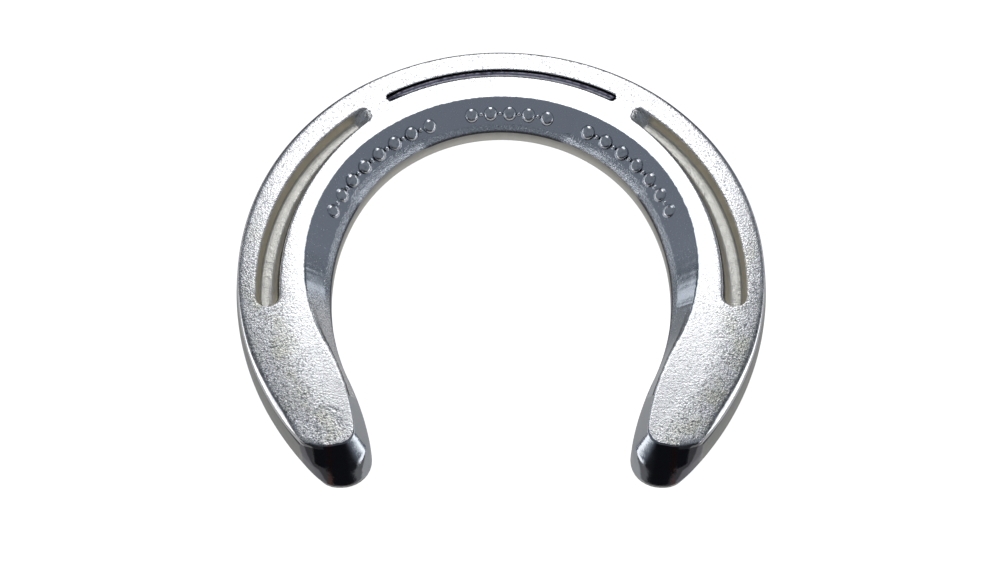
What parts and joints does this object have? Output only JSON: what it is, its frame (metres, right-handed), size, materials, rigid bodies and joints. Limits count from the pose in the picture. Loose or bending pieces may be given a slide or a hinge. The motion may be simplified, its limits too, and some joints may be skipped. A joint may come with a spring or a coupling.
{
  "type": "horseshoe",
  "caption": "Wide-web aluminium horseshoe with two nail creases, a seated inner edge, sloping heels and a steel wear strip across the toe.",
  "frame": {"origin": "on the hoof side's plane, under the middle of the shoe's bounding box", "axes": "+Z out of the ground side, away from the hoof; +Y towards the toe; +X across the shoe"},
  "size_m": [0.1296, 0.1156, 0.0095],
  "materials": {
    "cast_aluminium": "polished casting, pebbled on the ground side towards the heels",
    "wear_steel": "bare drawn steel strip"
  },
  "bodies": {
    "root": {"shoe_body": "cast_aluminium", "toe_insert": "wear_steel"}
  },
  "joints": []
}
